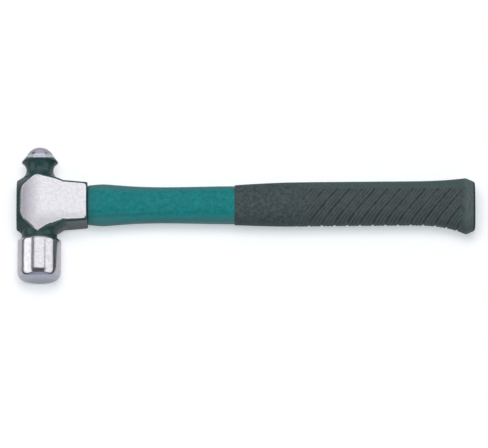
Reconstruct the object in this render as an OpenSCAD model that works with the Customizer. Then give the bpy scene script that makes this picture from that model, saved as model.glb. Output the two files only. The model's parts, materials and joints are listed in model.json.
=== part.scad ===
// Ball peen hammer with a bonded glass-fibre handle, lying on its side.
// X runs along the handle from the head to the butt, Y along the head from the
// striking face to the peen, and Z up, square to the cheeks. Millimetres.

/* [Head] */
// Distance from the handle axis to the striking face
face_reach = 55.5; // [46:0.5:67]
// Distance from the handle axis to the tip of the peen
peen_reach = 42.8; // [40:0.2:52]
// Distance from the head axis to the top end of the head
top_reach = 16.6; // [13.8:0.2:20]
// Distance from the head axis to the open end of the handle socket
socket_reach = 34.6; // [28.8:0.2:42]
// Thickness of the head across its two flat cheeks
cheek_t = 26; // [21.6:0.2:31.2]
// Amount by which each cheek falls away towards the top end
cheek_fall = 0.6; // [0:0.1:1.5]
// Thickness of the top end, between the bevels
top_t = 18; // [17:0.5:22]
// Length of the bevel between a cheek and the top end
top_bevel = 2.9; // [1:0.1:5]
// Height of the socket at its open end
socket_h = 28.6; // [25:0.2:34]
// Height of the eye block beside the necks
block_h = 31.2; // [27:0.2:37]
// Radius about the head axis at which the necks run out into the eye block
flare_r = 21; // [18:0.5:25]
// Edge break round the open end of the socket
socket_edge = 0.8; // [0.2:0.1:2]
// Half height of the cheek at the top end, between its cut corners
corner_half = 11; // [9:0.5:13]
// Angle of the cut corners to the head axis, seen square to the cheek
corner_lean = 45; // [30:1:50]
// Slope of the cut corners down from the cheek
corner_slope = 58; // [50:1:66]

/* [Poll] */
// Radius of the poll
poll_r = 15.7; // [14:0.1:18.8]
// Radius of the neck behind the poll
poll_neck_r = 12.7; // [11:0.1:13.8]
// Distance from the handle axis to the thinnest place of that neck
poll_neck_reach = 23.2; // [20:0.2:26.8]
// Radius of the groove that forms that neck
poll_groove_r = 4; // [3:0.1:5]
// Rounding between the poll and its flat striking face
face_round = 4.6; // [2:0.1:7]

/* [Peen] */
// Radius of the ball
ball_r = 10.6; // [9.2:0.1:12.6]
// Amount by which the edge of the bare dome is smaller than the ball's own radius
dome_inset = 0.8; // [0.3:0.1:2]
// Amount by which the collar stands proud of the ball, all round
collar_proud = 2.6; // [1.4:0.1:3.2]
// Radius of the neck below the collar
peen_neck_r = 9.7; // [8:0.1:11.5]
// Distance from the ball's centre down to the thinnest place of that neck
peen_neck_drop = 6.6; // [5.6:0.1:7.8]
// Radius of the groove that forms that neck
peen_groove_r = 7; // [5.5:0.1:8.4]

/* [Core and eye] */
// Height of the glass-fibre core
core_h = 17.6; // [14.6:0.2:21.2]
// Thickness of the glass-fibre core
core_t = 11.6; // [9.6:0.2:14]
// Thickness of the resin round the core at the waist of the eye
resin_wall = 1.2; // [0.6:0.1:1.6]
// Extra opening of the eye at each of its ends, which locks the resin in
eye_flare = 0.7; // [0.2:0.1:1]
// Depth of the finished resin below the top end of the head
resin_recess = 0.8; // [0.2:0.1:2]

/* [Handle jacket] */
// Distance from the head axis to the seam between jacket and grip
seam_reach = 140.4; // [120:0.2:168.4]
// Height of the jacket where it meets the head
jacket_root_h = 28.4; // [25:0.2:30]
// Height of the swell beyond the head
swell_h = 30.3; // [26:0.1:36]
// Distance from the head to the fullest place of the swell
swell_run = 11.8; // [8:0.2:16]
// Height of the slim waist
waist_h = 25.9; // [24.6:0.1:31]
// Distance from the head to the slimmest place of the waist
waist_run = 57.5; // [48:0.5:69]
// Height of the jacket at the seam
jacket_end_h = 27; // [25:0.2:28]
// Thickness of the jacket as a share of its height
jacket_flat = 0.76; // [0.7:0.01:0.85]
// Wall of the jacket's tail under the grip
tail_wall = 1.6; // [1:0.1:1.9]

/* [Grip] */
// Length of the grip, from the seam to the end of the butt
grip_len = 173.2; // [150:0.2:207.8]
// Height of the grip at its mouth
mouth_h = 28.8; // [28.2:0.1:34]
// Height of the grip's belly
belly_h = 31.9; // [30:0.1:38]
// Length over which the mouth swells into the belly
belly_run = 50; // [30:1:60]
// Height of the flared butt at its rim
butt_h = 40.5; // [38:0.5:48]
// Length over which the belly flares into the butt
flare_run = 43; // [35:1:52]
// Length of the chamfer from the rim to the end of the butt
butt_chamfer = 6.6; // [4:0.2:8]
// Amount by which the chamfer draws the end of the butt in, all round
butt_draw = 2.8; // [2:0.2:6]
// Thickness of the grip as a share of its height
grip_flat = 0.74; // [0.7:0.01:0.77]
// Amount by which the grip stands off the handle axis towards the peen
belly_rise = 1.4; // [0:0.1:2]
// Length over which the grip leaves the handle axis by that amount
rise_run = 136; // [100:1:150]
// Amount by which the butt hooks back towards the striking face
butt_hook = 2.2; // [0:0.1:3]
// Rubber between the end of the core and the end of the butt
butt_wall = 14; // [10:0.5:18]
// Glue line between the jacket's tail and the grip
glue_gap = 0.1; // [0.05:0.01:0.2]
// Rounding of the grip's mouth
mouth_round = 0.7; // [0.3:0.1:1]

/* [Hidden] */

// Smoothness of turned shapes, and of the ovals along the handle
$fn = 96;
oval_sides = 48;
jacket_steps = 22;
grip_steps = 34;
round_steps = 4;
arc_steps = 8;
// Overlap that lets a cut run clean through a face
clear = 1;
// Least distance that the cut corners keep from the neck behind the poll
neck_guard = 0.1;

// Fullness of the oval sections, where 2 is an ellipse
core_full = 2.4;
handle_full = 2.5;

// Places along the head axis, and the grooves that form the two necks
dome_r = ball_r - dome_inset;
collar_r = ball_r + collar_proud;
ball_y = peen_reach - ball_r;
dome_y = ball_y + sqrt(pow(ball_r, 2) - pow(dome_r, 2));
peen_neck_y = ball_y - peen_neck_drop;
poll_neck_y = -poll_neck_reach;
peen_groove = [peen_neck_r + peen_groove_r, peen_neck_y];
poll_groove = [poll_neck_r + poll_groove_r, poll_neck_y];
peen_sweep = acos((peen_groove[0] - collar_r) / peen_groove_r);
poll_sweep = acos((poll_groove[0] - poll_r) / poll_groove_r);
face_corner = [poll_r - face_round, face_round - face_reach];

// The walls of the eye block taper in a straight line from the necks to past the socket's far corners
rim_r = norm([socket_reach, cheek_t / 2]) + clear;
wall_slope = (block_h - socket_h) / 2 / (socket_reach - flare_r);
rim_half = block_h / 2 - wall_slope * (rim_r - flare_r);

// Places along the handle axis
bevel_x = top_bevel - top_reach;
resin_x = resin_recess - top_reach;
butt_x = seam_reach + grip_len;
rim_x = butt_x - butt_chamfer;
core_end_x = butt_x - butt_wall;
tail_h = core_h + 2 * tail_wall;
tail_t = core_t + 2 * tail_wall;

// The object's frame: its box is centred on X and Y and stands on Z = 0
lowest = max(poll_r, collar_r, cheek_t / 2, butt_h * grip_flat / 2);
frame_shift = [(top_reach - butt_x) / 2, (face_reach - peen_reach) / 2, lowest];

steel = [0.80, 0.80, 0.83];
glass_fibre = [0.80, 0.76, 0.58];
epoxy = [0.22, 0.24, 0.22];
teal = [0.14, 0.48, 0.49];
dark_rubber = [0.27, 0.32, 0.32];

function mix(a, b, u) = a + (b - a) * u;
function share(x, a, b) = min(1, max(0, (x - a) / (b - a)));
function ease(u) = (1 - cos(180 * u)) / 2;
function signed_pow(v, p) = sign(v) * pow(abs(v), p);

// Points of an arc about a centre
function arc(centre, r, from, to) = [
    for (i = [0:arc_steps])
        let (a = mix(from, to, i / arc_steps))
            centre + r * [cos(a), sin(a)]
];

// Points of an oval of height h and thickness t
function oval(h, t, full) = [
    for (i = [0:oval_sides - 1])
        let (a = 360 * i / oval_sides)
            [h / 2 * signed_pow(cos(a), 2 / full), t / 2 * signed_pow(sin(a), 2 / full)]
];

// One ring of a loft: an oval at x along the handle, shifted along the head axis
function ring(x, h, t, full, shift = 0) = [for (p = oval(h, t, full)) [x, p[0] + shift, p[1]]];

// Height of the jacket at x
swell_x = socket_reach + swell_run;
waist_x = socket_reach + waist_run;
waist_lead = 0.6;
function jacket_h(x) =
    x < swell_x ? mix(jacket_root_h, swell_h, sin(90 * share(x, socket_reach, swell_x)))
    : x < waist_x ? mix(swell_h, waist_h, ease(pow(share(x, swell_x, waist_x), waist_lead)))
    : mix(waist_h, jacket_end_h, ease(share(x, waist_x, seam_reach)));

// Height of the grip at x, and how far its middle stands off the handle axis
flare_power = 2.8;
hook_power = 3.3;
rise_power = 0.75;
function flare_share(x) = share(x, rim_x - flare_run, rim_x);
function belly_share(x) = sin(90 * share(x, seam_reach, seam_reach + belly_run));
function grip_h(x) =
    mix(mouth_h, belly_h, belly_share(x)) + (butt_h - belly_h) * pow(flare_share(x), flare_power);
function grip_shift(x) =
    belly_rise * pow(share(x, seam_reach, seam_reach + rise_run), rise_power)
    - butt_hook * pow(flare_share(x), hook_power);

// Moves a sub-part from the crossing of the head and handle axes into the object's frame
module in_frame() {
    translate(frame_shift) children();
}

// A solid through a row of rings that all have the same number of points
module loft(rings) {
    n = len(rings[0]);
    last = len(rings) - 1;
    walls = [
        for (k = [0:last - 1], i = [0:n - 1])
            let (a = k * n + i, b = k * n + (i + 1) % n)
                each [[a, b + n, b], [a, a + n, b + n]]
    ];
    start_cap = [[for (i = [0:n - 1]) i]];
    end_cap = [[for (i = [n - 1:-1:0]) last * n + i]];
    polyhedron([for (r = rings) each r], concat(start_cap, walls, end_cap), convexity = 4);
}

// A straight oval bar along the handle from x0 to x1
module oval_bar(x0, x1, h, t) {
    translate([x0, 0, 0]) rotate([90, 0, 90])
        linear_extrude(x1 - x0) polygon(oval(h, t, core_full));
}

// A shape turned about the head axis from its half outline
module turned() {
    rotate([-90, 0, 0]) rotate_extrude() children();
}

// The ball on its collar, down to the thinnest place of the neck
module peen_end() {
    translate([0, ball_y, 0]) sphere(ball_r);
    turned() polygon(concat(
        [[0, peen_neck_y]],
        arc(peen_groove, peen_groove_r, 180, 180 - peen_sweep),
        [[dome_r, dome_y], [0, dome_y]]
    ));
}

// The poll with its rounded striking face, up to the thinnest place of the neck
module poll_end() {
    turned() polygon(concat(
        [[0, poll_neck_y]],
        arc(poll_groove, poll_groove_r, 180, 180 + poll_sweep),
        arc(face_corner, face_round, 0, -90),
        [[0, -face_reach]]
    ));
}

// The turned shape between the two necks, which the cheeks cut flat
module neck_flares() {
    turned() polygon(concat(
        [[0, peen_neck_y]],
        arc(peen_groove, peen_groove_r, 180, 180 + peen_sweep),
        [[flare_r, block_h / 2], [rim_r, rim_half], [rim_r, -rim_half], [flare_r, -block_h / 2]],
        arc(poll_groove, poll_groove_r, 180 - poll_sweep, 180),
        [[0, poll_neck_y]]
    ));
}

// The block between the two cheeks, seen along the head axis
module cheek_block() {
    half = [
        [-top_reach, top_t / 2], [bevel_x, cheek_t / 2 - cheek_fall], [0, cheek_t / 2],
        [socket_reach - socket_edge, cheek_t / 2], [socket_reach, cheek_t / 2 - socket_edge]
    ];
    mirrored = [for (i = [len(half) - 1:-1:0]) [half[i][0], -half[i][1]]];
    translate([0, peen_neck_y, 0]) rotate([90, 0, 0])
        linear_extrude(peen_neck_y - poll_neck_y) polygon(concat(half, mirrored));
}

// The four cut corners where the cheeks meet the top end, which run out before they reach the necks
module corner_cuts() {
    difference() {
        for (up = [-1, 1], side = [-1, 1])
            translate([bevel_x, side * corner_half, up * (cheek_t / 2 - cheek_fall)])
                rotate([0, 0, -side * corner_lean]) rotate([0, -up * corner_slope, 0])
                    translate([0, side * poll_r, up * poll_r / 2])
                        cube([2 * poll_r, 3 * poll_r, poll_r], center = true);
        rotate([90, 0, 0]) cylinder(h = 3 * face_reach, r = poll_neck_r + neck_guard, center = true);
    }
}

// The flared eye through the head, along the handle
module eye() {
    h = core_h + 2 * resin_wall;
    t = core_t + 2 * resin_wall;
    open_h = h + 2 * eye_flare;
    open_t = t + 2 * eye_flare;
    waist = (socket_reach - top_reach) / 2;
    loft([
        ring(-top_reach - clear, open_h, open_t, core_full), ring(-top_reach, open_h, open_t, core_full),
        ring(waist, h, t, core_full),
        ring(socket_reach, open_h, open_t, core_full), ring(socket_reach + clear, open_h, open_t, core_full)
    ]);
}

module core_shape(x0, x1) {
    oval_bar(x0, x1, core_h, core_t);
}

module head() {
    color(steel) in_frame() difference() {
        union() {
            intersection() {
                neck_flares();
                difference() {
                    cheek_block();
                    corner_cuts();
                }
            }
            peen_end();
            poll_end();
        }
        eye();
    }
}

module handle_core() {
    color(glass_fibre) in_frame() core_shape(resin_x, core_end_x);
}

module eye_resin() {
    color(epoxy) in_frame() difference() {
        intersection() {
            eye();
            translate([resin_x, -face_reach, -face_reach])
                cube([socket_reach - resin_x, 2 * face_reach, 2 * face_reach]);
        }
        core_shape(resin_x - clear, socket_reach + clear);
    }
}

module handle_jacket() {
    color(teal) in_frame() difference() {
        union() {
            loft([
                for (i = [0:jacket_steps])
                    let (x = mix(socket_reach, seam_reach, i / jacket_steps), h = jacket_h(x))
                        ring(x, h, h * jacket_flat, handle_full)
            ]);
            oval_bar(seam_reach - clear, core_end_x, tail_h, tail_t);
        }
        core_shape(socket_reach - clear, core_end_x + clear);
    }
}

module grip() {
    mouth_rings = [
        for (i = [0:round_steps])
            let (a = 90 * i / round_steps, x = seam_reach + mouth_round * (1 - cos(a)),
                 in = 2 * mouth_round * (1 - sin(a)))
                ring(x, grip_h(x) - in, grip_h(x) * grip_flat - in, handle_full, grip_shift(x))
    ];
    body_rings = [
        for (i = [1:grip_steps])
            let (x = mix(seam_reach + mouth_round, rim_x, i / grip_steps), h = grip_h(x))
                ring(x, h, h * grip_flat, handle_full, grip_shift(x))
    ];
    end_h = butt_h - 2 * butt_draw;
    end_t = butt_h * grip_flat - 2 * butt_draw;
    end_ring = ring(butt_x, end_h, end_t, handle_full, grip_shift(butt_x));
    color(dark_rubber) in_frame() difference() {
        loft(concat(mouth_rings, body_rings, [end_ring]));
        oval_bar(seam_reach - clear, core_end_x, tail_h + 2 * glue_gap, tail_t + 2 * glue_gap);
    }
}

head();
handle_core();
eye_resin();
handle_jacket();
grip();
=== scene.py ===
# Ball peen hammer with a bonded glass-fibre handle, lying on its side on a white table.
import json
import math

import bmesh
import bpy
import numpy as np
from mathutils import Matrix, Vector


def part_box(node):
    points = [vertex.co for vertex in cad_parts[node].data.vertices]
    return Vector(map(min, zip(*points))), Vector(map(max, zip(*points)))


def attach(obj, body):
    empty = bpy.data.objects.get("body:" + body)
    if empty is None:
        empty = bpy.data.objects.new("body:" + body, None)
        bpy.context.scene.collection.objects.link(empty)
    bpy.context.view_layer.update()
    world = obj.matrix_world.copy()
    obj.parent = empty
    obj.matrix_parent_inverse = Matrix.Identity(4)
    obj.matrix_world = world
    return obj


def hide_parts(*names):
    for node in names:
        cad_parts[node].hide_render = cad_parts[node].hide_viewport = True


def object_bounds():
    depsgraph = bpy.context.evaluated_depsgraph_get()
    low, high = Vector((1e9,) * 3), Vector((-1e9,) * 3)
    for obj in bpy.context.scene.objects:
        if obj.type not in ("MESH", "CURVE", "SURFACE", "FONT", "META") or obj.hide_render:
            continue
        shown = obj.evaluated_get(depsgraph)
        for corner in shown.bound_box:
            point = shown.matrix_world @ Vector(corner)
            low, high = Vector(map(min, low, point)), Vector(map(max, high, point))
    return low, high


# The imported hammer. All pieces are drawn in millimetres from the crossing of its two axes: the head axis
# runs along Y through the poll, and the handle axis along X through the glass-fibre core.
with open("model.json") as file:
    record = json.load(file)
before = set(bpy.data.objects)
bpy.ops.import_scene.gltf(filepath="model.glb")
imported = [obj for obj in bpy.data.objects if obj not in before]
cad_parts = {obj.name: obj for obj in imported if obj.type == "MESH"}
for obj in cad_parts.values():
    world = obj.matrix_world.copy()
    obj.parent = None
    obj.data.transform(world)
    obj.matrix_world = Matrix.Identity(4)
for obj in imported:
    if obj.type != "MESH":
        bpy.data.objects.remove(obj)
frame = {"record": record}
cad_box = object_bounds()
MM = 0.001
poll_mount = next(m for m in frame["record"]["mounts"] if m["name"] == "poll")
crossing = np.array([poll_mount["pos_m"][0], *np.mean(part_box("handle_core"), axis=0)[1:]])


def node_span(node):
    """Lowest and highest corner of a CAD node, in millimetres from the crossing."""
    return (np.array(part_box(node)) - crossing) / MM


# Glass-fibre core. A pultruded bar of glass rovings in polyester resin, sawn to length. It carries the
# whole handle, and its sawn end shows in the eye of the head.
(core_x, _, _), (core_end_x, core_half_h, core_half_t) = node_span("handle_core")
# Fullness of an oval section: 2 is an ellipse, and more is squarer.
core_full = 2.4
core_edge = 0.3
section_sides = 160
tip_angles = np.array([0.006, 0.013, 0.022])
bundle_w = 0.55
bundle_stretch = 0.02
bundle_colour = (0.70, 0.64, 0.44)
core_resin = (0.46, 0.38, 0.17)
pale_core_resin = (0.60, 0.52, 0.28)


def section_angles():
    """Angles round an oval section, closer together at its two edges, where a mould parts."""
    even = np.arange(section_sides) * 2 * np.pi / section_sides
    tips = [at + side * tip_angles for at in (0, np.pi) for side in (-1, 1)]
    return np.sort(np.concatenate([even, *tips]) % (2 * np.pi))


def oval_ring(x, half_h, half_t, full, rise=0.0):
    """One oval section across the handle at x, with its middle moved by rise towards the peen."""
    angle = section_angles()
    across = np.sign(np.cos(angle)) * np.abs(np.cos(angle)) ** (2 / full)
    up = np.sign(np.sin(angle)) * np.abs(np.sin(angle)) ** (2 / full)
    return np.stack([np.full_like(angle, x), rise + half_h * across, half_t * up], axis=1)


def skin(name, rings, hollow=False):
    """A closed skin through a row of rings. A hollow one joins its last ring to its first, and any other
    is capped."""
    rings = np.asarray(rings, float)
    rows, sides, _ = rings.shape
    index = np.arange(rows * sides).reshape(rows, sides)
    near = index if hollow else index[:-1]
    far = np.roll(index, -1, axis=0) if hollow else index[1:]
    quads = np.stack([near, np.roll(near, -1, axis=1), np.roll(far, -1, axis=1), far], axis=-1)
    faces = quads.reshape(-1, 4).tolist()
    if not hollow:
        faces += [index[0][::-1].tolist(), index[-1].tolist()]
    mesh = bpy.data.meshes.new(name)
    mesh.from_pydata((crossing + MM * rings.reshape(-1, 3)).tolist(), [], faces)
    mesh.update()
    return mesh


def show(name, mesh, material, node, sharp_angle=40):
    """Puts a finished mesh into the scene, where it stands for its CAD node."""
    mesh.polygons.foreach_set("use_smooth", np.ones(len(mesh.polygons), bool))
    mesh.set_sharp_from_angle(angle=math.radians(sharp_angle))
    mesh.materials.clear()
    mesh.materials.append(material)
    piece = bpy.data.objects.new(name, mesh)
    bpy.context.scene.collection.objects.link(piece)
    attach(piece, "root")
    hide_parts(node)


class Nodes:
    """Draws a node tree, with the sizes of patterns and the depth of relief in millimetres."""

    def __init__(self, tree):
        self.tree = tree
        tree.nodes.clear()

    def put(self, socket, value):
        """Sets an input to a plain value, or links it to another node's output."""
        if isinstance(value, bpy.types.NodeSocket):
            self.tree.links.new(value, socket)
        else:
            socket.default_value = value

    def add(self, kind, fields=None, **inputs):
        """A new node with these fields, and with its inputs set by name."""
        node = self.tree.nodes.new(kind)
        for field, value in (fields or {}).items():
            setattr(node, field, value)
        for name, value in inputs.items():
            self.put(node.inputs[name.replace("_", " ")], value)
        return node

    def calc(self, operation, *values):
        """The result of one sum."""
        node = self.add("ShaderNodeMath", {"operation": operation})
        for socket, value in zip(node.inputs, values):
            self.put(socket, value)
        return node.outputs[0]

    def step(self, value, low, high, start=0.0, stop=1.0):
        """A soft step from start to stop, as a value goes from low to high."""
        node = self.add("ShaderNodeMapRange", {"interpolation_type": "SMOOTHSTEP"}, Value=value,
                        From_Min=low, From_Max=high, To_Min=start, To_Max=stop)
        return node.outputs["Result"]

    def blend(self, share, first, second):
        """A mix of two colours, with this share of the second."""
        node = self.add("ShaderNodeMix", {"data_type": "RGBA"})
        for at, value in ((0, share), (6, first), (7, second)):
            self.put(node.inputs[at], (*value, 1) if isinstance(value, tuple) else value)
        return node.outputs[2]

    def attribute(self, name):
        """A value that the mesh holds at each of its points."""
        return self.add("ShaderNodeAttribute", {"attribute_name": name}).outputs["Fac"]

    def place(self, stretch=(1, 1, 1)):
        """Object coordinates, squeezed for a pattern that runs one way."""
        place = self.add("ShaderNodeTexCoord").outputs["Object"]
        return self.add("ShaderNodeMapping", Vector=place, Scale=stretch).outputs["Vector"]

    def noise(self, where, size, detail=2.0):
        """A soft noise with blotches of this size."""
        node = self.add("ShaderNodeTexNoise", Vector=where, Scale=1 / (size * MM), Detail=detail)
        return node.outputs["Fac"]

    def cells(self, where, size):
        """The distance from the middle of the nearest of many cells of this size."""
        node = self.add("ShaderNodeTexVoronoi", Vector=where, Scale=1 / (size * MM))
        return node.outputs["Distance"]

    def cover(self, shader, colour, rough, height, depth):
        """Sets what changes over a surface: its colour, its roughness and its fine relief."""
        relief = self.add("ShaderNodeBump", Height=height, Distance=depth * MM).outputs["Normal"]
        for name, value in (("Base Color", colour), ("Roughness", rough), ("Normal", relief)):
            self.put(shader.inputs[name], value)


def new_finish(name, **constants):
    """A material with its shader, whose plain values are set on the shader's own sockets."""
    material = bpy.data.materials.new(name)
    material.use_nodes = True
    nodes = Nodes(material.node_tree)
    shader = nodes.add("ShaderNodeBsdfPrincipled", **constants)
    nodes.add("ShaderNodeOutputMaterial", Surface=shader.outputs["BSDF"])
    return material, nodes, shader


def new_group(name, kind, inputs, outputs):
    """An empty node group with named sockets, and its input and output nodes."""
    tree = bpy.data.node_groups.new(name, kind)
    for in_out, sockets in (("INPUT", inputs), ("OUTPUT", outputs)):
        for label, socket_type in sockets.items():
            tree.interface.new_socket(label, in_out=in_out, socket_type="NodeSocket" + socket_type)
    nodes = Nodes(tree)
    return tree, nodes, nodes.add("NodeGroupInput").outputs, nodes.add("NodeGroupOutput").inputs


def wandering_tone():
    """Shared by every finish: a colour that wanders between two shades, in wide patches and a fine grain."""
    tree, nodes, given, result = new_group(
        "Wandering tone", "ShaderNodeTree",
        {"Shade": "Color", "Other Shade": "Color", "Patch Scale": "Float", "Grain Scale": "Float"},
        {"Colour": "Color", "Grain": "Float"})
    place = nodes.place()
    patch, grain = (
        nodes.add("ShaderNodeTexNoise", Vector=place, Scale=given[scale], Detail=detail).outputs["Fac"]
        for scale, detail in (("Patch Scale", 3.0), ("Grain Scale", 2.0)))
    half_and_half = nodes.calc("MULTIPLY_ADD", patch, 0.5, nodes.calc("MULTIPLY", grain, 0.5))
    wander = nodes.step(half_and_half, 0.36, 0.64)
    nodes.put(result["Colour"], nodes.blend(wander, given["Shade"], given["Other Shade"]))
    nodes.put(result["Grain"], grain)
    return tree


tone_tree = wandering_tone()


def tone(nodes, shade, other, patch, grain):
    """The wandering tone placed in one finish, with patches and grain of these sizes."""
    group = nodes.add("ShaderNodeGroup", {"node_tree": tone_tree},
                      Shade=(*shade, 1), Other_Shade=(*other, 1),
                      Patch_Scale=1 / (patch * MM), Grain_Scale=1 / (grain * MM))
    return group.outputs


def fibre_finish():
    """Sawn glass rovings: pale bundle ends in a yellow resin, drawn out into streaks along the bar."""
    material, nodes, shader = new_finish("core_fibre", Specular_IOR_Level=0.4)
    bundles = nodes.cells(nodes.place(stretch=(bundle_stretch, 1, 1)), bundle_w)
    between = nodes.step(bundles, 0.25, 0.7)
    resin = tone(nodes, core_resin, pale_core_resin, patch=4.0, grain=0.4)
    colour = nodes.blend(between, bundle_colour, resin["Colour"])
    nodes.cover(shader, colour, nodes.step(between, 0, 1, 0.62, 0.40), between, depth=-0.05)
    return material


core_stations = ((core_x, core_edge), (core_x + core_edge, 0),
                 (core_end_x - core_edge, 0), (core_end_x, core_edge))
core_rings = [oval_ring(x, core_half_h - inset, core_half_t - inset, core_full)
              for x, inset in core_stations]
show("core", skin("core", core_rings), fibre_finish(), "handle_core")


# Handle jacket. Teal polymer moulded over the core, in a two-part mould that leaves a fine line on each
# edge. It swells beyond the head, narrows to a waist, and carries on as a thin tail under the grip.
(root_x, _, _), (tail_end_x, _, _) = node_span("handle_jacket")
seam_x = node_span("grip")[0][0]
root_half_h = 14.2
swell_half_h = 15.15
swell_x = root_x + 11.8
waist_half_h = 12.95
waist_x = root_x + 57.5
waist_bend = 0.6
seam_half_h = 13.5
jacket_flat = 0.76
root_full = 2.35
seam_full = 2.8
root_round = 0.9
tail_wall = 1.6
bore_clear = 0.04
mould_line = 0.1
mould_line_half_w = 0.35
jacket_step = 1.0
# The crease where the flat cheek ends. It drops by a share of the thickness, and a painted highlight runs
# along its upper side.
crease_root_y = 10.8
crease_waist_y = 7.9
crease_w = 1.4
crease_drop = 0.075
crease_fade_x = root_x + 35
crease_fade_run = 20
crease_highlight_share = 0.32
crease_highlight_width = 1.6
# A greyer painted sheen on both edges of the jacket, and painted shade with a grey sheen on the peen-side
# edge.
edge_start = 8.0
edge_full = 13.5
# Painted shade on the jacket's root, darkest next to the head.
root_shade = 0.7
root_shade_run = 11
teal = (0.002, 0.160, 0.166)
pale_teal = (0.006, 0.238, 0.244)
sheen_teal = (0.052, 0.238, 0.243)
top_shade_and_sheen_teal = (0.046, 0.165, 0.168)
head_shade_teal = (0.03, 0.13, 0.14)


def share(x, start, stop):
    """How far x has gone from start to stop, from 0 to 1."""
    return np.clip((x - start) / (stop - start), 0, 1)


def ease(u):
    """A share that starts and stops gently."""
    return (1 - np.cos(np.pi * u)) / 2


def jacket_half_h(x):
    """Half height of the jacket: a quick swell beyond the head, a long fall to the waist and a slow rise."""
    if x < swell_x:
        return root_half_h + (swell_half_h - root_half_h) * np.sin(np.pi / 2 * share(x, root_x, swell_x))
    if x < waist_x:
        fall = ease(share(x, swell_x, waist_x) ** waist_bend)
        return swell_half_h + (waist_half_h - swell_half_h) * fall
    return waist_half_h + (seam_half_h - waist_half_h) * ease(share(x, waist_x, seam_x))


def crease_share(x):
    """How much of the crease there is: all of it at the head, and none of it well past the waist."""
    return 1 - ease(share(x, crease_fade_x, waist_x + crease_fade_run))


def beyond_crease(x, y):
    """How far a point lies beyond the crease, towards the edge of the jacket."""
    return np.abs(y) - crease_root_y - (crease_waist_y - crease_root_y) * share(x, root_x, waist_x)


def jacket_ring(x, inset=0.0):
    """One section of the jacket, with its mould lines and its creases."""
    half_h = jacket_half_h(x)
    full = root_full + (seam_full - root_full) * share(x, root_x, seam_x)
    ring = oval_ring(x, half_h - inset, half_h * jacket_flat - inset, full)
    line = np.clip(1 - np.abs(ring[:, 2]) / mould_line_half_w, 0, 1)
    dropped = ease(share(beyond_crease(x, ring[:, 1]), -crease_w / 2, crease_w / 2))
    ring[:, 2] *= 1 - crease_drop * dropped * crease_share(x)
    ring[:, 1] += np.sign(ring[:, 1]) * mould_line * line
    return ring


def rounded_end(start, round_r, direction, count=6):
    """Places and insets that round an edge over, from the end face at start to the full section."""
    angle = np.linspace(0, np.pi / 2, count)
    return zip(start + direction * round_r * (1 - np.cos(angle)), round_r * (1 - np.sin(angle)))


def teal_finish():
    """Teal moulded polymer with a satin skin: speckled pigment, dull rubbed streaks, a greyer painted sheen
    on the edges and the crease, painted shade with a grey sheen on the peen-side edge, and painted shade at
    the root by the head."""
    material, nodes, shader = new_finish("jacket_plastic", Specular_IOR_Level=0.2,
                                         Sheen_Weight=0.25, Sheen_Roughness=0.3)
    pigment = tone(nodes, teal, pale_teal, patch=3.0, grain=0.9)
    rubbed = nodes.step(nodes.noise(nodes.place(stretch=(0.25, 1, 1)), size=14), 0.45, 0.75)
    # Painted sheen on the edges, and a painted highlight along the crease.
    edge_sheen = nodes.blend(nodes.attribute("edge"), pigment["Colour"], sheen_teal)
    # Painted shade with a grey sheen on the peen-side edge.
    top_shade_and_sheen = nodes.blend(nodes.attribute("peen_edge"), edge_sheen, top_shade_and_sheen_teal)
    # Painted shade at the root, next to the head.
    shade_painted = nodes.blend(nodes.attribute("by_head"), top_shade_and_sheen, head_shade_teal)
    nodes.cover(shader, shade_painted, nodes.step(rubbed, 0, 1, 0.42, 0.58), pigment["Grain"], depth=0.12)
    return material


def mark(mesh, name, values):
    """Stores one value for each point of a mesh, for its finish to read."""
    mesh.attributes.new(name, "FLOAT", "POINT").data.foreach_set("value", values.astype(np.float32))


tail_half_h = core_half_h + tail_wall
tail_half_t = core_half_t + tail_wall
bore_half_h = core_half_h + bore_clear
bore_half_t = core_half_t + bore_clear
jacket_rings = [jacket_ring(x, inset) for x, inset in rounded_end(root_x, root_round, 1)]
jacket_rings += [jacket_ring(x) for x in np.arange(root_x + 2 * root_round, seam_x, jacket_step)]
jacket_rings += [jacket_ring(seam_x)]
jacket_rings += [oval_ring(x, tail_half_h, tail_half_t, core_full) for x in (seam_x, tail_end_x)]
jacket_rings += [oval_ring(x, bore_half_h, bore_half_t, core_full) for x in (tail_end_x, root_x)]
jacket_mesh = skin("jacket", jacket_rings, hollow=True)
jacket_x, jacket_y, _ = np.concatenate(jacket_rings).T
# A painted highlight along the upper side of the crease, and a greyer painted sheen on both edges.
crease_ridge = 1 - np.abs(beyond_crease(jacket_x, jacket_y) + crease_w) / crease_highlight_width
painted_crease_highlight = crease_highlight_share * crease_share(jacket_x) * np.clip(crease_ridge, 0, 1)
mark(jacket_mesh, "edge", np.maximum(share(np.abs(jacket_y), edge_start, edge_full), painted_crease_highlight))
# Painted shade with a grey sheen on the peen-side edge.
mark(jacket_mesh, "peen_edge", share(jacket_y, edge_start, edge_full))
# Painted shade on the root, darkest next to the head.
mark(jacket_mesh, "by_head", root_shade * (1 - share(jacket_x, root_x, root_x + root_shade_run)) ** 2)
show("jacket", jacket_mesh, teal_finish(), "handle_jacket")


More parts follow.
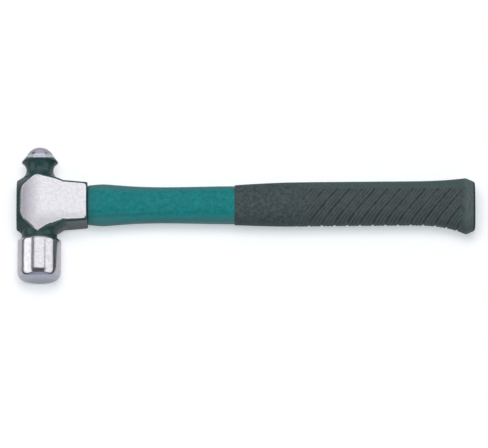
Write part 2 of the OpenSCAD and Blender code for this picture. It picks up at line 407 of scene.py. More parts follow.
# Grip. A dark rubber sleeve pushed over the jacket's tail and glued, with a closed butt that flares and
# hooks. Diagonal ribs are moulded into a panel on both cheeks and round the edge that the fingers close on.
butt_x = node_span("grip")[1][0]
mouth_half_h = 14.4
belly_half_h = 15.95
belly_run = 50
butt_half_h = 20.25
flare_run = 43
flare_bend = 2.8
butt_chamfer = 6.6
butt_draw = 2.8
rim_x = butt_x - butt_chamfer
grip_flat = 0.74
grip_full = 2.5
belly_rise = 1.4
rise_run = 136
rise_bend = 0.75
butt_hook = 2.2
hook_bend = 3.3
glue_gap = 0.1
mouth_round = 0.7
rim_round = 1.6
rim_passes = 6
end_round = 1.3
panel_start_x = 176
panel_full_x = 204
panel_stop_x = 304
panel_stop_w = 1.5
panel_edge_y = 10.2
panel_edge_w = 0.9
sunk_start_y = -12
finger_edge_start = 9
finger_edge_full = 13
plain_step = 1.1
ribbed_step = 0.42
scuff_before_rim = 2
scuff_past_rim = 1
# Painted shade on the butt's end face, which turns away from the light.
end_shade_start = 1.7
end_shade_full = 0.9
rib_pitch = 9.08
rib_lean = 0.83
rib_start = 6.55
groove_depth = 0.95
fine_line_depth = 0.4
panel_drop = 0.35
# Parts of a rib as shares of the pitch, from the groove's middle: the end of its floor, its lip, and the
# place and half width of a fine line.
groove_floor = 0.02
groove_lip = 0.19
fine_line_at = 0.36
fine_line_half_w = 0.11
# Colours of the rubber. The rib tops are rubbed pale with a painted highlight, and the grooves and the
# butt's end take painted shade.
dark_rubber = (0.029, 0.044, 0.046)
pale_rubber = (0.070, 0.093, 0.096)
green_rubber = (0.055, 0.095, 0.089)
scuffed_rubber = (0.105, 0.134, 0.133)
rubbed_and_lit_rubber = (0.092, 0.102, 0.109)
groove_shade = (0.022, 0.026, 0.030)
end_shade_rubber = (0.012, 0.015, 0.017)


def flare_share(x):
    """How far the flare of the butt has opened, up to its rim."""
    return share(x, rim_x - flare_run, rim_x)


def drawn_in(x):
    """How far the chamfer past the rim has drawn the butt in."""
    return butt_draw * share(x, rim_x, butt_x)


def grip_half_h(x):
    """Half height of the grip: the mouth swells into the belly, and the butt flares out to its rim."""
    belly = np.sin(np.pi / 2 * share(x, seam_x, seam_x + belly_run))
    body = mouth_half_h + (belly_half_h - mouth_half_h) * belly
    flare = (butt_half_h - belly_half_h) * flare_share(x) ** flare_bend
    return body + flare - drawn_in(x)


def grip_half_t(x):
    """Half thickness of the grip: an even share of its height, with the same chamfer at the butt."""
    return grip_flat * (grip_half_h(x) + drawn_in(x)) - drawn_in(x)


def grip_ring(x, inset=0.0):
    """One section of the grip's outside, which rises along the belly and hooks down at the butt."""
    climb = belly_rise * share(x, seam_x, seam_x + rise_run) ** rise_bend
    hook = butt_hook * flare_share(x) ** hook_bend
    return oval_ring(x, grip_half_h(x) - inset, grip_half_t(x) - inset, grip_full, climb - hook)


def soften_rim(rings):
    """Rounds the rim where the flare meets the chamfer, by averaging its rings along the handle."""
    rings = np.array(rings)
    near_rim = np.abs(rings[1:-1, 0, 0] - rim_x) < rim_round
    for _ in range(rim_passes):
        average = (rings[:-2] + 2 * rings[1:-1] + rings[2:]) / 4
        rings[1:-1][near_rim] = average[near_rim]
    return rings


def grip_rings():
    """Rings of the blind bore, from its bottom out to the mouth, and rings of the outside, from the mouth
    over the rim to the butt's end."""
    bore_h, bore_t = tail_half_h + glue_gap, tail_half_t + glue_gap
    bore = [oval_ring(x, bore_h, bore_t, core_full) for x in (tail_end_x, seam_x)]
    mouth = [grip_ring(x, inset) for x, inset in rounded_end(seam_x, mouth_round, 1)]
    plain = [grip_ring(x) for x in np.arange(seam_x + 2 * mouth_round, panel_start_x, plain_step)]
    ribbed = [grip_ring(x) for x in np.arange(panel_start_x, butt_x - end_round, ribbed_step)]
    end = [grip_ring(x, inset) for x, inset in reversed(list(rounded_end(butt_x, end_round, -1)))]
    return bore, soften_rim(mouth + plain + ribbed + end)


def panel_share(points):
    """How much of the ribbed panel there is at each point of the grip's outside."""
    x, y = points[:, 0], points[:, 1]
    begun = ease(share(x, panel_start_x, panel_full_x))
    ended = ease(share(x, panel_stop_x - panel_stop_w, panel_stop_x))
    return begun * (1 - ended) * (1 - ease(share(y, panel_edge_y - panel_edge_w, panel_edge_y)))


def sunk_share(points):
    """How much of the panel's full drop there is: none on the edge that the fingers close on."""
    return panel_share(points) * ease(share(points[:, 1], sunk_start_y, 0))


def border_share(points):
    """How much of the greener border there is: beside the panel, and along the edge for the fingers."""
    x, y = points[:, 0], points[:, 1]
    beside = share(y, panel_edge_y - panel_edge_w, panel_edge_y)
    by_fingers = share(-y, finger_edge_start, finger_edge_full)
    return np.maximum(beside, by_fingers) * share(x, panel_start_x, panel_full_x)


def diagonal_ribs():
    """Presses a leaning groove into the panel for every pitch, and two fine lines into the rib between two
    grooves."""
    tree, nodes, given, result = new_group(
        "Diagonal ribs", "GeometryNodeTree",
        {"Grip": "Geometry", "Pitch": "Float", "Lean": "Float", "Start": "Float", "Groove Depth": "Float",
         "Groove Floor": "Float", "Groove Lip": "Float", "Line Depth": "Float", "Line Place": "Float",
         "Line Half Width": "Float", "Panel Drop": "Float", "Rubber": "Material"},
        {"Grip": "Geometry"})
    position = nodes.add("GeometryNodeInputPosition").outputs["Position"]
    place = nodes.add("ShaderNodeSeparateXYZ", Vector=position).outputs
    panel, sunk = (
        nodes.add("GeometryNodeInputNamedAttribute", {"data_type": "FLOAT"}, Name=name).outputs["Attribute"]
        for name in ("panel", "sunk"))
    leaned = nodes.calc("SUBTRACT", place["X"], nodes.calc("MULTIPLY", place["Y"], given["Lean"]))
    turns = nodes.calc("DIVIDE", nodes.calc("SUBTRACT", leaned, given["Start"]), given["Pitch"])
    off_groove = nodes.calc("PINGPONG", turns, 0.5)
    groove = nodes.step(off_groove, given["Groove Floor"], given["Groove Lip"], 1.0, 0.0)
    off_line = nodes.calc("ABSOLUTE", nodes.calc("SUBTRACT", off_groove, given["Line Place"]))
    line = nodes.step(off_line, 0.0, given["Line Half Width"], 1.0, 0.0)
    pressed_in = nodes.calc("MAXIMUM", nodes.calc("MULTIPLY", groove, given["Groove Depth"]),
                            nodes.calc("MULTIPLY", line, given["Line Depth"]))
    dropped = nodes.calc("MULTIPLY", given["Panel Drop"], sunk)
    depth = nodes.calc("MULTIPLY_ADD", pressed_in, panel, dropped)
    normal = nodes.add("GeometryNodeInputNormal").outputs["Normal"]
    inward = nodes.add("ShaderNodeVectorMath", {"operation": "SCALE"}, Vector=normal,
                       Scale=nodes.calc("MULTIPLY", depth, -1.0)).outputs["Vector"]
    ribbed = nodes.add("GeometryNodeSetPosition", Geometry=given["Grip"], Offset=inward).outputs["Geometry"]
    for name, value in (("groove", groove), ("line", line)):
        stored = nodes.add("GeometryNodeStoreNamedAttribute", {"data_type": "FLOAT", "domain": "POINT"},
                           Name=name, Geometry=ribbed, Value=nodes.calc("MULTIPLY", value, panel))
        ribbed = stored.outputs["Geometry"]
    plain = nodes.add("GeometryNodeRealizeInstances", Geometry=ribbed).outputs["Geometry"]
    dressed = nodes.add("GeometryNodeSetMaterial", Geometry=plain, Material=given["Rubber"])
    nodes.put(result["Grip"], dressed.outputs["Geometry"])
    return tree


def settled(mesh, add_modifier):
    """A plain mesh that holds the result of one modifier."""
    holder = bpy.data.objects.new(mesh.name, mesh)
    bpy.context.scene.collection.objects.link(holder)
    add_modifier(holder)
    graph = bpy.context.evaluated_depsgraph_get()
    result = bpy.data.meshes.new_from_object(
        holder.evaluated_get(graph), preserve_all_data_layers=True, depsgraph=graph)
    holder.modifiers.clear()
    bpy.data.objects.remove(holder)
    return result


def rubber_finish():
    """Dark green-grey rubber: a matt bloom on the skin, greener at the border, painted shade in the grooves,
    the ribs rubbed pale with a painted highlight, the rim rubbed pale, and painted shade on the butt's end."""
    material, nodes, shader = new_finish("grip_rubber", Specular_IOR_Level=0.35, Sheen_Weight=0.12,
                                         Sheen_Roughness=0.4, Sheen_Tint=(0.7, 1, 0.97, 1))
    bloom = tone(nodes, dark_rubber, pale_rubber, patch=2.6, grain=0.9)
    border = nodes.calc("MULTIPLY", nodes.attribute("border"), 0.7)
    greener = nodes.blend(border, bloom["Colour"], green_rubber)
    patchy = nodes.step(nodes.noise(nodes.place(), size=2.5, detail=4.0), 0.3, 0.7, 0.5, 1.0)
    scuffed = nodes.calc("MULTIPLY", nodes.attribute("scuff"), patchy)
    worn = nodes.blend(scuffed, greener, scuffed_rubber)
    pressed = nodes.calc("MAXIMUM", nodes.attribute("groove"), nodes.attribute("line"))
    on_ribs = nodes.calc("SUBTRACT", nodes.attribute("panel"), pressed)
    # The rib tops are rubbed pale, with a painted highlight on them.
    rub_and_highlight = nodes.step(bloom["Grain"], 0.35, 0.65, 0.25, 0.95)
    rubbed = nodes.blend(nodes.calc("MULTIPLY", on_ribs, rub_and_highlight), worn, rubbed_and_lit_rubber)
    # Painted shade in the grooves, in patches along the grip.
    fade = nodes.step(nodes.noise(nodes.place(), size=8.0), 0.38, 0.62, 0.4, 1.0)
    painted_groove_shade = nodes.calc("MULTIPLY", pressed, nodes.calc("MULTIPLY", fade, 0.8))
    shaded = nodes.blend(painted_groove_shade, rubbed, groove_shade)
    # Painted shade on the butt's end face.
    end_shade = nodes.calc("MULTIPLY", nodes.attribute("end_shade"), 0.9)
    shade_painted = nodes.blend(end_shade, shaded, end_shade_rubber)
    rough = nodes.step(bloom["Grain"], 0.3, 0.7, 0.62, 0.80)
    nodes.cover(shader, shade_painted, rough, bloom["Grain"], depth=0.2)
    return material


rubber = rubber_finish()
rib_sizes = {
    "Pitch": rib_pitch * MM,
    "Lean": rib_lean,
    "Start": rib_start * MM + crossing[0] - rib_lean * crossing[1],
    "Groove Depth": groove_depth * MM,
    "Groove Floor": groove_floor,
    "Groove Lip": groove_lip,
    "Line Depth": fine_line_depth * MM,
    "Line Place": fine_line_at,
    "Line Half Width": fine_line_half_w,
    "Panel Drop": panel_drop * MM,
    "Rubber": rubber,
}


def press_ribs(holder):
    """Hangs the rib tree on the grip, with its sizes."""
    modifier = holder.modifiers.new("ribs", "NODES")
    modifier.node_group = diagonal_ribs()
    for socket in modifier.node_group.interface.items_tree:
        if socket.in_out == "INPUT" and socket.name in rib_sizes:
            modifier[socket.identifier] = rib_sizes[socket.name]


bore_rings, outer_rings = grip_rings()
grip_mesh = skin("grip", [*bore_rings, *outer_rings])
grip_points = np.concatenate([*bore_rings, *outer_rings])
in_bore = np.arange(len(grip_points)) < len(np.concatenate(bore_rings))
grip_marks = {
    "panel": panel_share(grip_points),
    "sunk": sunk_share(grip_points),
    "border": border_share(grip_points),
    "scuff": share(grip_points[:, 0], rim_x - scuff_before_rim, rim_x + scuff_past_rim),
    # Painted shade on the butt's end face.
    "end_shade": share(grip_points[:, 0], butt_x - end_shade_start, butt_x - end_shade_full),
}
for name, values in grip_marks.items():
    mark(grip_mesh, name, np.where(in_bore, 0, values))
show("grip_sleeve", settled(grip_mesh, press_ribs), rubber, "grip", sharp_angle=60)


# Head. One drop forging, turned at both ends: a poll with a flat striking face, a ball peen on a collar, and
# an eye block between two necks. Cheeks, poll and ball are ground and polished, and the rest is sprayed
# dark green.
(top_x, face_y, _), (socket_x, peen_y, _) = node_span("head")
poll_r = poll_mount["dims"]["r_mm"]
face_round = 4.6
face_draw = 6.2
# Each neck is a round groove: its least radius, and its place on the head axis.
poll_neck = (12.7, -23.2)
poll_groove_r = 4
ball_r = 10.6
ball_y = peen_y - ball_r
dome_r = 9.8
collar_r = 13.2
peen_neck = (9.7, 25.6)
peen_groove_r = 7
collar_y = peen_neck[1] + math.sqrt(peen_groove_r ** 2 - (peen_neck[0] + peen_groove_r - collar_r) ** 2)
poll_edge_y = poll_neck[1] - math.sqrt(poll_groove_r ** 2 - (poll_neck[0] + poll_groove_r - poll_r) ** 2)
flare_r = 21
block_half_h = 15.6
socket_half_h = 14.3
cheek_half_t = 13
cheek_fall = 0.6
cheek_bend_w = 2.5
# The cheeks' flat cut opens quickly beyond these two places, and leaves the necks round.
cheek_poll_y = -21.8
cheek_peen_y = 21
cheek_opening = 3
top_half_t = 9
bevel_x = top_x + 2.9
corner_half = 11
corner_lean = math.radians(45)
corner_slope = math.radians(58)
neck_guard = 0.1
cheek_round = 1.2
bevel_round = 0.7
corner_round = 2.8
socket_round = 1.3
outline_soft = 0.3
outline_step = 0.1
# How far the edge of the paint lies inside the cheeks' outline: at the flanks, the top end and the socket.
flank_paint = 1.3
end_paint = 0.43
socket_paint = 1.05
paint_corner = 2.0
# The cheeks are ground by hand, a little off square. At these places along the handle, the paint's edge lies
# this much further in, or further out below zero, on the peen's side and on the poll's side.
peen_slip = ((-9, -3, 0.4, 4.7), (0, -1.4, -0.5, 0))
poll_slip = ((-9, -1.5, 0.4, 4, 11, 20, 30), (-0.2, -2.0, 0.9, 1.8, 1.9, 0.7, 0.2))
poll_bare = 0.8
peen_paint = 0.7
paint_climb = 2.6
depth_limit = 5
# Painted shade in the steel's reflections: the cheeks grow darker towards the top end and the poll, and the
# ball is darker. A rim along the cheek's outline stays bright, as a painted highlight.
bright_x = 1.5
shaded_x = -13
poll_shade = 0.45
poll_shade_start = 6
poll_shade_full = 14.5
bright_rim = 0.35
bright_rim_end = 0.8
ball_shade = 0.5
ball_shade_start = 3.6
ball_shade_full = 4.4
# A painted blue-grey reflection on the striking face, of the bluish shaded table in front of it.
tint_start = 2.4
tint_full = 1.2
bright_steel = (0.685, 0.653, 0.692)
brightest_steel = (0.815, 0.788, 0.822)
shaded_steel = (0.298, 0.278, 0.318)
reflected_blue_steel = (0.56, 0.605, 0.69)
dark_enamel = (0.019, 0.054, 0.053)
pale_enamel = (0.030, 0.078, 0.076)
mask_waver = 0.5
mask_soft = 0.12
# Relief of the finish: the paint's thickness, and two heights as multiples of it.
paint_t = 0.03
forged_lumps = 6.0
grinding_marks = 0.15


def arc(centre, radius, start, stop, draw=1.0, count=80):
    """Points of an arc between two angles, drawn out along the head axis."""
    angle = np.radians(np.linspace(start, stop, count))
    return [(centre[0] + radius * math.cos(a), centre[1] + draw * radius * math.sin(a)) for a in angle]


def head_outline():
    """Half outline of the turned shapes as radius and y, from the ball's tip to the middle of the striking
    face. Each stretch comes with the spacing of its rings."""
    peen_centre = (peen_neck[0] + peen_groove_r, peen_neck[1])
    poll_centre = (poll_neck[0] + poll_groove_r, poll_neck[1])
    peen_sweep = math.degrees(math.acos((peen_centre[0] - collar_r) / peen_groove_r))
    poll_sweep = math.degrees(math.acos((poll_centre[0] - poll_r) / poll_groove_r))
    slope = (block_half_h - socket_half_h) / (socket_x - flare_r)
    overreach = 1
    side_w = 3
    far_r = math.hypot(socket_x, cheek_half_t) + overreach
    far_y = block_half_h - slope * (far_r - flare_r)
    return [
        (arc((0, ball_y), ball_r, 90, math.degrees(math.acos(dome_r / ball_r))), 0.7),
        ([(collar_r, peen_centre[1] + peen_groove_r * math.sin(math.radians(peen_sweep)))], 0.45),
        (arc(peen_centre, peen_groove_r, 180 - peen_sweep, 180 + peen_sweep), 0.5),
        ([(flare_r, block_half_h)], 0.4),
        ([(far_r, far_y)], 0.42),
        ([(far_r, far_y - side_w)], 0.25),
        ([(far_r, side_w - far_y)], 0.9),
        ([(far_r, -far_y)], 0.25),
        ([(flare_r, -block_half_h)], 0.42),
        (arc(poll_centre, poll_groove_r, 180 - poll_sweep, 180 + poll_sweep), 0.4),
        ([(poll_r, face_y + face_draw)], 2.0),
        (arc((poll_r - face_round, face_y + face_draw), face_round, 0, -90, face_draw / face_round), 0.45),
        ([(0, face_y)], 1.6),
    ]


def outline_rings():
    """Radius and y of every ring of the turned outline, with all its corners softened a little, and the
    softened outline itself."""
    points, places, travelled = [(0.0, peen_y)], [], 0.0
    for stretch, spacing in head_outline():
        points += stretch
        length = sum(math.dist(a, b) for a, b in zip(points[-len(stretch) - 1:], points[-len(stretch):]))
        count = math.ceil(length / spacing)
        places += [travelled + length * i / count for i in range(count)]
        travelled += length
    points = np.array(points)
    at = np.concatenate([[0], np.cumsum(np.hypot(*np.diff(points, axis=0).T))])
    even = np.arange(0, travelled, outline_step)
    outline = np.stack([np.interp(even, at, points[:, 0]), np.interp(even, at, points[:, 1])], axis=1)
    reach = int(4 * outline_soft / outline_step)
    mirror = np.array([-1, 1])
    drawn_on = np.concatenate([outline[reach:0:-1] * mirror, outline, outline[-2:-reach - 2:-1] * mirror])
    weight = np.exp(-0.5 * (np.arange(-reach, reach + 1) * outline_step / outline_soft) ** 2)
    weight /= weight.sum()
    soft = np.stack([np.convolve(drawn_on[:, i], weight, "valid") for i in (0, 1)], axis=1)
    rings = np.stack([np.interp(places, even, soft[:, 0]), np.interp(places, even, soft[:, 1])], axis=1)
    rings[0] = (0, peen_y)
    return np.concatenate([rings, [(0, face_y)]]), soft


def cheek_angles():
    """Angles round the head axis, closer together at the corners of the eye block."""
    corners = [(socket_x, 0), (socket_x, cheek_half_t), (bevel_x, cheek_half_t - cheek_fall),
               (top_x, top_half_t), (top_x, 0)]
    counts = (20, 96, 10, 16)
    half = []
    for (x0, z0), (x1, z1), count in zip(corners, corners[1:], counts):
        u = ease(np.arange(count) / count)
        half += list(np.arctan2(z0 + (z1 - z0) * u, x0 + (x1 - x0) * u))
    half = np.array(half)
    return np.concatenate([half, 2 * np.pi - np.append(half[1:], np.pi)[::-1]])


turned_rings, turned_outline = outline_rings()
flank_r = np.arange(peen_neck[0], math.hypot(socket_x, cheek_half_t), outline_step)


def block_flank(neck_y):
    """How far along the head axis the block's turned flank lies at each radius, from a neck to the rim."""
    side = math.copysign(1, neck_y)
    reach = turned_outline[:, 1] * side
    flank = turned_outline[(reach > 0) & (reach < abs(neck_y))]
    flank = flank[np.argsort(flank[:, 0])]
    return np.interp(flank_r, flank[:, 0], side * flank[:, 1])


peen_flank = block_flank(peen_neck[1])
poll_flank = block_flank(poll_neck[1])


def flank_gap(p):
    """Height of points above the block's turned flank, along the head axis, and how square to the axis the
    flank is there."""
    r, to_peen = np.hypot(p[:, 0], p[:, 2]), p[:, 1] > 0
    reach = np.where(to_peen, np.interp(r, flank_r, peen_flank), np.interp(r, flank_r, poll_flank))
    slopes = [np.interp(r, flank_r, np.gradient(flank, flank_r)) for flank in (peen_flank, poll_flank)]
    return np.abs(p[:, 1]) - reach, 1 / np.sqrt(1 + np.where(to_peen, *slopes) ** 2)


def block_distances(p):
    """Distances of points outside each face of the eye block: cheeks, bevels, corner cuts and two ends."""
    x, y, z = p[:, 0], p[:, 1], np.abs(p[:, 2])
    bend = (cheek_bend_w - x) ** 2 / (4 * cheek_bend_w)
    ramp = np.where(np.abs(x) < cheek_bend_w, bend, np.maximum(-x, 0))
    open_necks = cheek_opening * (np.maximum(cheek_poll_y - y, 0) + np.maximum(y - cheek_peen_y, 0))
    cheek = z - cheek_half_t + ramp * cheek_fall / -bevel_x - open_necks
    run = np.array([bevel_x - top_x, cheek_half_t - cheek_fall - top_half_t])
    across = np.array([-run[1], run[0]]) / np.hypot(*run)
    bevel = (x - bevel_x) * across[0] + (z - cheek_half_t + cheek_fall) * across[1]
    tilt = math.sin(corner_slope)
    corner = (-tilt * math.cos(corner_lean) * (x - bevel_x)
              + tilt * math.sin(corner_lean) * (np.abs(y) - corner_half)
              + math.cos(corner_slope) * (z - cheek_half_t + cheek_fall))
    corner = np.minimum(corner, np.hypot(x, z) - poll_neck[0] - neck_guard)
    return cheek, bevel, corner, top_x - x, x - socket_x


def round_meet(a, b, radius):
    """Distance outside both of two faces whose common edge is rounded over."""
    past_round = np.hypot(np.maximum(a + radius, 0), np.maximum(b + radius, 0))
    return np.minimum(np.maximum(a, b), -radius) + past_round


def cheek_and_ends(p):
    """Distances outside the cheeks, and outside all that cuts the block off towards its two ends."""
    cheek, bevel, corner, top, socket = block_distances(p)
    top_end = round_meet(round_meet(bevel, corner, corner_round), top, bevel_round)
    return cheek, round_meet(top_end, socket, socket_round)


def block_distance(p):
    """Distance of points outside the whole eye block, with its edges rounded."""
    cheek, ends = cheek_and_ends(p)
    gap, square = flank_gap(p)
    sides = round_meet(gap * square, ends, bevel_round)
    return round_meet(sides, cheek, np.where(gap * square > ends, cheek_round * square ** 2, cheek_round))


def on_block(p, passes=6, tiny=0.001, least_slope=0.05):
    """Moves points near the eye block onto its rounded surface."""
    for _ in range(passes):
        away = block_distance(p)
        slope = np.stack([block_distance(p + tiny * axis) - away for axis in np.eye(3)], axis=1) / tiny
        p = p - slope * (away / np.maximum((slope ** 2).sum(1), least_slope))[:, None]
    return p


def head_rings(halvings=30):
    """Rings round the head axis. Those of the eye block are cut by its flat faces, by halving the way to
    the face, and their edges are then rounded."""
    angle = cheek_angles()
    radius, height = turned_rings[:, :1], turned_rings[:, 1:]
    points = np.stack([radius * np.cos(angle), np.repeat(height, len(angle), axis=1),
                       radius * np.sin(angle)], axis=-1)
    block = ((height < peen_neck[1]) & (height > poll_neck[1]))[:, 0]
    ray = points[block].reshape(-1, 3)
    length = np.hypot(ray[:, 0], ray[:, 2])
    unit = ray / length[:, None] * np.array([1, 0, 1])
    base = ray * np.array([0, 1, 0])
    low, high = np.zeros(len(ray)), length
    for _ in range(halvings):
        middle = (low + high) / 2
        inside = np.max(block_distances(base + unit * middle[:, None]), axis=0) < 0
        low, high = np.where(inside, middle, low), np.where(inside, high, middle)
    points[block] = on_block(base + unit * low[:, None]).reshape(-1, len(angle), 3)
    return points


def cheek_inset(p):
    """How far points of a cheek lie inside the edge of the paint. All other points count as outside."""
    cheek, ends = cheek_and_ends(p)
    gap, square = flank_gap(p)
    in_block = (p[:, 1] < peen_neck[1]) & (p[:, 1] > poll_neck[1])
    end_inset = np.where(p[:, 0] > 0, socket_paint, end_paint)
    slip = np.where(p[:, 1] > 0, np.interp(p[:, 0], *peen_slip), np.interp(p[:, 0], *poll_slip))
    outside = round_meet(gap + flank_paint * square ** 2 + slip, ends + end_inset, paint_corner)
    return np.where(in_block & (cheek > -cheek_round), -outside, -1)


def bare_depth(p):
    """How far each point lies inside the polished steel. Below zero it is painted."""
    axis_guard = 0.1
    beside = p[:, 0] / np.maximum(np.hypot(p[:, 0], p[:, 2]), axis_guard)
    peen = p[:, 1] - collar_y - peen_paint - paint_climb * beside ** 2
    poll = poll_edge_y + poll_bare - p[:, 1]
    return np.clip(np.max([cheek_inset(p), poll, peen], axis=0), -depth_limit, depth_limit)


def painted_reflection_shade(p):
    """Where the steel is painted darker, as painted shade in its reflections: on the cheeks towards the top
    end and the poll, and on the ball. A rim along the cheek's outline stays bright, as a painted highlight.
    """
    to_top = share(-p[:, 0], -bright_x, -shaded_x)
    to_poll = poll_shade * share(-p[:, 1], poll_shade_start, poll_shade_full)
    cheek = np.maximum(to_top, to_poll) * share(cheek_inset(p), bright_rim, bright_rim_end)
    ball = ball_shade * share(p[:, 1], ball_y + ball_shade_start, ball_y + ball_shade_full)
    return np.maximum(cheek, ball)


def face_reflection_tint(p):
    """Where the steel takes a painted blue-grey reflection of the bluish shaded table in front of it: on the
    striking face and at its edge.
    """
    return share(face_y - p[:, 1], -tint_start, -tint_full)


eye_wall = 1.2
eye_flare = 0.7
eye_chamfer = 0.5
eye_overrun = 1
eye_overrun_grow = 0.2
eye_waist_x = (top_x + socket_x) / 2


def eye_half(x):
    """Half height and half thickness of the eye, which opens from its waist to both ends."""
    grow = eye_wall + eye_flare * abs(x - eye_waist_x) / (socket_x - eye_waist_x)
    return core_half_h + grow, core_half_t + grow


def eye_ring(x, extra=0.0):
    """One section of the eye, larger all round by extra."""
    half_h, half_t = eye_half(x)
    return oval_ring(x, half_h + extra, half_t + extra, core_full)


def bore_eye(holder):
    """Cuts the eye through the head, with a chamfer at its open end."""
    cutter_rings = [
        eye_ring(top_x - eye_chamfer, 2 * eye_chamfer),
        eye_ring(top_x + eye_chamfer),
        eye_ring(eye_waist_x),
        eye_ring(socket_x - eye_chamfer),
        eye_ring(socket_x + eye_overrun, eye_overrun_grow),
    ]
    cutter = bpy.data.objects.new("eye", skin("eye", cutter_rings))
    bpy.context.scene.collection.objects.link(cutter)
    modifier = holder.modifiers.new("eye", "BOOLEAN")
    modifier.object = cutter
    modifier.operation = "DIFFERENCE"
    modifier.solver = "MANIFOLD"


def head_finish():
    """Polished steel with fine grinding marks, painted shade in its reflections, a painted blue-grey
    reflection on the striking face, and dark green enamel over the lumpy skin of the forging, which stops in
    a hand-masked edge."""
    material, nodes, shader = new_finish("head_steel", Specular_IOR_Level=0.36)
    waver = nodes.calc("SUBTRACT", nodes.noise(nodes.place(), size=1.6), 0.5)
    ragged = nodes.calc("MULTIPLY_ADD", waver, mask_waver, nodes.attribute("bare_depth"))
    bare = nodes.step(ragged, -mask_soft, mask_soft)
    bright = tone(nodes, bright_steel, brightest_steel, patch=2.6, grain=0.8)
    # Painted shade in the steel's reflections, with a painted highlight on the cheek's rim.
    reflection_shaded = nodes.blend(nodes.attribute("painted_reflection_shade"), bright["Colour"], shaded_steel)
    # A painted blue-grey reflection on the striking face.
    steel = nodes.blend(nodes.attribute("face_reflection_tint"), reflection_shaded, reflected_blue_steel)
    enamel = tone(nodes, dark_enamel, pale_enamel, patch=6.0, grain=0.5)
    grinding = nodes.noise(nodes.place(stretch=(6, 0.25, 6)), size=1.2, detail=4.0)
    rough = nodes.add("ShaderNodeMix", {"data_type": "FLOAT"}, Factor=bare)
    nodes.put(rough.inputs[2], nodes.step(enamel["Grain"], 0.3, 0.7, 0.16, 0.26))
    nodes.put(rough.inputs[3], nodes.step(grinding, 0.3, 0.7, 0.11, 0.23))
    painted = nodes.calc("SUBTRACT", 1.0, bare)
    lumps = nodes.calc("MULTIPLY", nodes.noise(nodes.place(), size=2.6, detail=3.0), painted)
    smooth = nodes.calc("MULTIPLY_ADD", grinding, grinding_marks, nodes.calc("MULTIPLY", bare, -1.0))
    height = nodes.calc("MULTIPLY_ADD", lumps, forged_lumps, smooth)
    nodes.put(shader.inputs["Metallic"], bare)
    colour = nodes.blend(bare, enamel["Colour"], steel)
    nodes.cover(shader, colour, rough.outputs[0], height, depth=paint_t)
    return material


def merge_poles(mesh, pole_gap=0.0005):
    """Closes the two ends of the head, where a whole ring lies in one point."""
    work = bmesh.new()
    work.from_mesh(mesh)
    bmesh.ops.remove_doubles(work, verts=work.verts, dist=pole_gap * MM)
    work.to_mesh(mesh)
    work.free()


head_blank = skin("head", head_rings())
merge_poles(head_blank)
head_mesh = settled(head_blank, bore_eye)
bpy.data.objects.remove(bpy.data.objects["eye"])
head_points = np.empty(3 * len(head_mesh.vertices))
head_mesh.vertices.foreach_get("co", head_points)
head_points = (head_points.reshape(-1, 3) - crossing) / MM
mark(head_mesh, "bare_depth", bare_depth(head_points))
# Painted shade in the steel's reflections.
mark(head_mesh, "painted_reflection_shade", painted_reflection_shade(head_points))
# A painted blue-grey reflection on the striking face.
mark(head_mesh, "face_reflection_tint", face_reflection_tint(head_points))
show("forged_head", head_mesh, head_finish(), "head", sharp_angle=50)


# Eye resin. Dark epoxy poured into the flared eye round the core, which locks the head on the handle.
# Its open face sinks a little between the core and the steel as it cures.
resin_x = core_x
resin_clear = 0.04
meniscus = 0.45
resin_steps = 8
pinhole_gap = 1.1
dark_epoxy = (0.020, 0.026, 0.023)
cloudy_epoxy = (0.045, 0.052, 0.046)


def resin_rings():
    """Outside from the socket to the top end, over the sunken open face, and back along the core."""
    outside = [eye_ring(x, -resin_clear) for x in (socket_x, eye_waist_x, resin_x)]
    out_h, out_t = eye_half(resin_x)
    face = []
    for u in np.linspace(0, 1, resin_steps):
        half_h = out_h - resin_clear + (bore_half_h - out_h + resin_clear) * u
        half_t = out_t - resin_clear + (bore_half_t - out_t + resin_clear) * u
        face.append(oval_ring(resin_x + meniscus * math.sin(math.pi * u), half_h, half_t, core_full))
    return outside + face[1:] + [oval_ring(socket_x, bore_half_h, bore_half_t, core_full)]


def epoxy_finish():
    """Dark cast epoxy: glossy, a little cloudy, with pinholes where air came out."""
    material, nodes, shader = new_finish("eye_epoxy", Specular_IOR_Level=0.5)
    cloud = tone(nodes, dark_epoxy, cloudy_epoxy, patch=2.5, grain=0.5)
    pinholes = nodes.step(nodes.cells(nodes.place(), pinhole_gap), 0.08, 0.2)
    rough = nodes.step(cloud["Grain"], 0.3, 0.7, 0.18, 0.32)
    nodes.cover(shader, cloud["Colour"], rough, pinholes, depth=0.1)
    return material


resin_mesh = skin("resin", np.array(resin_rings())[::-1], hollow=True)
show("resin", resin_mesh, epoxy_finish(), "eye_resin")


# Table. A round white table top that the hammer lies on. It takes the soft shadow, and a faint glow keeps
# it white to the eye and pale in the polished steel.
table_r = 0.26
table_sides = 96
table_colour = (0.69, 0.67, 0.69, 1)
glow_colour = (0.90, 0.98, 1, 1)
glow_seen = 0.465
glow_in_steel = 0.02


def table_finish():
    """A pale sheet, with a white glow for the camera and a trace of it for what shows in steel."""
    material = bpy.data.materials.new("table_white")
    material.use_nodes = True
    nodes = Nodes(material.node_tree)
    lit = nodes.add("ShaderNodeBsdfDiffuse", Color=table_colour).outputs["BSDF"]
    path = nodes.add("ShaderNodeLightPath").outputs
    in_steel = nodes.calc("MAXIMUM", path["Is Glossy Ray"], path["Is Transmission Ray"])
    trace = nodes.calc("MULTIPLY", in_steel, glow_in_steel)
    level = nodes.calc("MULTIPLY_ADD", path["Is Camera Ray"], glow_seen, trace)
    glow = nodes.add("ShaderNodeEmission", Color=glow_colour, Strength=level).outputs["Emission"]
    both = nodes.add("ShaderNodeAddShader")
    nodes.put(both.inputs[0], lit)
    nodes.put(both.inputs[1], glow)
    nodes.add("ShaderNodeOutputMaterial", Surface=both.outputs["Shader"])
    return material


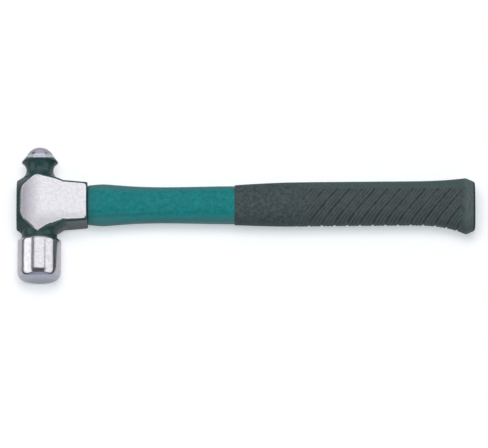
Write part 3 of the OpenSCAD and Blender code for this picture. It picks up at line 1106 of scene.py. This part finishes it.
def table_top():
    """The table's round upper face, at the height that the hammer rests on."""
    angle = np.arange(table_sides) * 2 * np.pi / table_sides
    mesh = bpy.data.meshes.new("table")
    rim = [(table_r * math.cos(a), table_r * math.sin(a), 0) for a in angle]
    mesh.from_pydata(rim, [], [list(range(table_sides))])
    mesh.materials.append(table_finish())
    return bpy.data.objects.new("table", mesh)


table = table_top()
bpy.context.scene.collection.objects.link(table)


# Light. Three soft boxes that show only in steel and gloss, one overhead towards the peen, one low on the
# left and one on the right: their gaps give the polished poll its dark stripes. A wide fill and a smaller
# key light the matt surfaces and the table, and stay out of the steel.
def soft_box(name, direction, distance, size, radiance, middle=crossing, in_steel=True):
    """A lamp that faces the middle from a direction. It either shows in steel and gloss, at this level, or
    lights the rest."""
    lamp = bpy.data.lights.new(name, "AREA")
    lamp.shape = "RECTANGLE"
    lamp.size, lamp.size_y = size
    lamp.energy = math.pi * size[0] * size[1] * radiance
    holder = bpy.data.objects.new(name, lamp)
    aim = Vector(direction).normalized()
    holder.location = Vector(middle) + aim * distance
    holder.rotation_euler = aim.to_track_quat("Z", "Y").to_euler()
    holder.visible_camera = False
    holder.visible_glossy = in_steel
    holder.visible_diffuse = not in_steel
    bpy.context.scene.collection.objects.link(holder)


def from_zenith(degrees, towards_peen=0.0):
    """A direction that leans from straight up to the right by an angle, and by a share towards the peen."""
    return math.sin(math.radians(degrees)), towards_peen, math.cos(math.radians(degrees))


hammer_middle = np.mean(cad_box, axis=0)
soft_box("overhead", from_zenith(2.5, 0.48), distance=1.1, size=(1.09, 1.2), radiance=0.865)
soft_box("left_box", from_zenith(-64), distance=1.1, size=(2.0, 0.89), radiance=1.18)
soft_box("right_box", from_zenith(55.5), distance=1.1, size=(2.0, 0.87), radiance=0.96)
soft_box("fill", from_zenith(0), distance=1.2, size=(2.2, 2.2), radiance=0.3,
         middle=hammer_middle, in_steel=False)
soft_box("key", from_zenith(-2, 0.07), distance=2.2, size=(1.24, 1.24), radiance=6.6,
         middle=hammer_middle, in_steel=False)


def dim_room():
    """A dim room with a paler ceiling and two pale end walls. Steel and gloss also show a pale part of the
    ceiling towards the peen and a pale strip far on the left, and the camera sees plain white."""
    world = bpy.data.worlds.new("room")
    world.use_nodes = True
    nodes = Nodes(world.node_tree)
    outward = nodes.add("ShaderNodeTexCoord").outputs["Generated"]
    way = nodes.add("ShaderNodeSeparateXYZ", Vector=outward).outputs
    path = nodes.add("ShaderNodeLightPath").outputs
    ceiling = nodes.step(way["Z"], 0.1, 0.5, 0.05, 0.12)
    peen_wall = nodes.step(way["Y"], 0.8, 0.96, 0.0, 0.8)
    face_wall = nodes.step(way["Y"], -0.9, -0.68, 0.4, 0.0)
    pale_ceiling = nodes.calc("MULTIPLY", nodes.step(way["Z"], 0.6, 0.8, 0.0, 0.16),
                              nodes.step(way["Y"], 0.05, 0.2))
    pale_left = nodes.step(way["X"], -0.99, -0.9, 0.2, 0.0)
    in_steel = nodes.calc("MULTIPLY", path["Is Glossy Ray"], nodes.calc("ADD", pale_ceiling, pale_left))
    walls = nodes.calc("ADD", peen_wall, face_wall)
    level = nodes.calc("ADD", nodes.calc("ADD", ceiling, walls), in_steel)
    room = nodes.add("ShaderNodeBackground", Color=(0.84, 0.92, 1, 1), Strength=level)
    white = nodes.add("ShaderNodeBackground", Color=(1, 1, 1, 1), Strength=1.0)
    seen = nodes.add("ShaderNodeMixShader", Fac=path["Is Camera Ray"])
    nodes.put(seen.inputs[1], room.outputs["Background"])
    nodes.put(seen.inputs[2], white.outputs["Background"])
    nodes.add("ShaderNodeOutputWorld", Surface=seen.outputs["Shader"])
    return world


bpy.context.scene.world = dim_room()


# Camera. A long lens from the striking-face side, 15 degrees off straight down.
image_w = 488
photo_mm_per_px = 0.72
view_centre = np.array([147.2, -13.95, 0.0])
camera_tilt = math.radians(15)
lens = 500

camera_data = bpy.data.cameras.new("camera")
camera_data.lens = lens
camera_data.sensor_fit = "HORIZONTAL"
camera_distance = lens / camera_data.sensor_width * image_w * photo_mm_per_px * MM
camera_direction = np.array([0, -math.sin(camera_tilt), math.cos(camera_tilt)])
camera = bpy.data.objects.new("camera", camera_data)
camera.location = crossing + MM * view_centre + camera_distance * camera_direction
camera.rotation_euler = (camera_tilt, 0, 0)
bpy.context.scene.collection.objects.link(camera)
bpy.context.scene.camera = camera
bpy.context.scene.view_settings.view_transform = "Standard"
